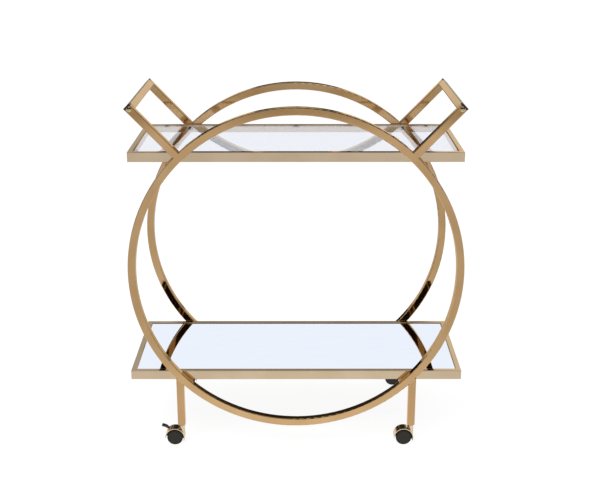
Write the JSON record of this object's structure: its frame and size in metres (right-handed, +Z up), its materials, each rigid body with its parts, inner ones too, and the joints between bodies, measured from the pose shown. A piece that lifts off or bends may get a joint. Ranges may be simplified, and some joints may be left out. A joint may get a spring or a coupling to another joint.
{
  "type": "bar cart",
  "caption": "Two-tier rolling bar cart: round hoops of square tube carry a glass tray and a mirror tray, with an angled push handle at each end and hooded casters.",
  "frame": {"origin": "on the floor, under the centre of the cart", "axes": "+X along the trays to the right end, +Y from front to back, +Z up"},
  "size_m": [0.839, 0.381, 0.8848],
  "materials": {
    "champagne_gold": "polished, lacquered champagne gold plate on steel tube",
    "gold_hood": "polished gold plate on cast zinc",
    "gold_bolt": "polished gold plate on steel",
    "zinc_steel": "zinc plated",
    "clear_pad": "soft clear polyurethane",
    "clear_glass": "clear tempered glass with polished edges",
    "mirror_glass": "silvered glass with a painted back",
    "black_plastic": "moulded, satin",
    "wheel_black": "moulded nylon, satin",
    "lever_black": "moulded nylon, satin"
  },
  "bodies": {
    "frame": {"front_hoop": "champagne_gold", "back_hoop": "champagne_gold", "top_front_rail": "champagne_gold", "top_back_rail": "champagne_gold", "top_left_rail": "champagne_gold", "top_right_rail": "champagne_gold", "bottom_front_rail": "champagne_gold", "bottom_back_rail": "champagne_gold", "bottom_left_rail": "champagne_gold", "bottom_right_rail": "champagne_gold", "top_tabs": "champagne_gold", "bottom_tabs": "champagne_gold", "left_front_arm": "champagne_gold", "right_front_arm": "champagne_gold", "left_back_arm": "champagne_gold", "right_back_arm": "champagne_gold", "left_crossbar": "champagne_gold", "right_crossbar": "champagne_gold", "hoop_weld_nuts": "zinc_steel", "tray_bolts": "zinc_steel", "crossbar_inserts": "zinc_steel", "leg_inserts": "zinc_steel", "stem_snap_rings": "zinc_steel", "handle_bolts": "gold_bolt", "top_bumpers": "clear_pad", "bottom_bumpers": "clear_pad", "glass_pane": "clear_glass", "mirror_pane": "mirror_glass", "arm_plugs": "black_plastic", "front_left_leg": "champagne_gold", "front_left_stem": "zinc_steel", "front_right_leg": "champagne_gold", "front_right_stem": "zinc_steel", "back_left_leg": "champagne_gold", "back_left_stem": "zinc_steel", "back_right_leg": "champagne_gold", "back_right_stem": "zinc_steel"},
    "front_left_swivel": {"front_left_hood": "gold_hood", "front_left_axle": "zinc_steel", "front_left_lever_pin": "zinc_steel"},
    "front_left_wheel_near": {"front_left_wheel_near": "wheel_black"},
    "front_left_wheel_far": {"front_left_wheel_far": "wheel_black"},
    "front_left_lever": {"front_left_lever": "lever_black"},
    "front_right_swivel": {"front_right_hood": "gold_hood", "front_right_axle": "zinc_steel"},
    "front_right_wheel_near": {"front_right_wheel_near": "wheel_black"},
    "front_right_wheel_far": {"front_right_wheel_far": "wheel_black"},
    "back_left_swivel": {"back_left_hood": "gold_hood", "back_left_axle": "zinc_steel", "back_left_lever_pin": "zinc_steel"},
    "back_left_wheel_near": {"back_left_wheel_near": "wheel_black"},
    "back_left_wheel_far": {"back_left_wheel_far": "wheel_black"},
    "back_left_lever": {"back_left_lever": "lever_black"},
    "back_right_swivel": {"back_right_hood": "gold_hood", "back_right_axle": "zinc_steel"},
    "back_right_wheel_near": {"back_right_wheel_near": "wheel_black"},
    "back_right_wheel_far": {"back_right_wheel_far": "wheel_black"}
  },
  "joints": [
    {"name": "front_left_swivel", "type": "hinge", "parent": "frame", "child": "front_left_swivel", "pos_m": [-0.294, -0.1775, 0.045], "axis": [0, 0, 1], "continuous": true},
    {"name": "front_left_spin_near", "type": "hinge", "parent": "front_left_swivel", "child": "front_left_wheel_near", "pos_m": [-0.312, -0.1775, 0.02], "axis": [0, 1, 0], "continuous": true},
    {"name": "front_left_spin_far", "type": "hinge", "parent": "front_left_swivel", "child": "front_left_wheel_far", "pos_m": [-0.312, -0.1775, 0.02], "axis": [0, 1, 0], "continuous": true},
    {"name": "front_left_brake", "type": "hinge", "parent": "front_left_swivel", "child": "front_left_lever", "pos_m": [-0.32634, -0.1775, 0.04048], "axis": [0, 1, 0], "range_deg": [-15, 0]},
    {"name": "front_right_swivel", "type": "hinge", "parent": "frame", "child": "front_right_swivel", "pos_m": [0.294, -0.1775, 0.045], "axis": [0, 0, 1], "continuous": true},
    {"name": "front_right_spin_near", "type": "hinge", "parent": "front_right_swivel", "child": "front_right_wheel_near", "pos_m": [0.276, -0.1775, 0.02], "axis": [0, 1, 0], "continuous": true},
    {"name": "front_right_spin_far", "type": "hinge", "parent": "front_right_swivel", "child": "front_right_wheel_far", "pos_m": [0.276, -0.1775, 0.02], "axis": [0, 1, 0], "continuous": true},
    {"name": "back_left_swivel", "type": "hinge", "parent": "frame", "child": "back_left_swivel", "pos_m": [-0.294, 0.1775, 0.045], "axis": [0, 0, 1], "continuous": true},
    {"name": "back_left_spin_near", "type": "hinge", "parent": "back_left_swivel", "child": "back_left_wheel_near", "pos_m": [-0.312, 0.1775, 0.02], "axis": [0, 1, 0], "continuous": true},
    {"name": "back_left_spin_far", "type": "hinge", "parent": "back_left_swivel", "child": "back_left_wheel_far", "pos_m": [-0.312, 0.1775, 0.02], "axis": [0, 1, 0], "continuous": true},
    {"name": "back_left_brake", "type": "hinge", "parent": "back_left_swivel", "child": "back_left_lever", "pos_m": [-0.32634, 0.1775, 0.04048], "axis": [0, 1, 0], "range_deg": [-15, 0]},
    {"name": "back_right_swivel", "type": "hinge", "parent": "frame", "child": "back_right_swivel", "pos_m": [0.294, 0.1775, 0.045], "axis": [0, 0, 1], "continuous": true},
    {"name": "back_right_spin_near", "type": "hinge", "parent": "back_right_swivel", "child": "back_right_wheel_near", "pos_m": [0.276, 0.1775, 0.02], "axis": [0, 1, 0], "continuous": true},
    {"name": "back_right_spin_far", "type": "hinge", "parent": "back_right_swivel", "child": "back_right_wheel_far", "pos_m": [0.276, 0.1775, 0.02], "axis": [0, 1, 0], "continuous": true}
  ]
}
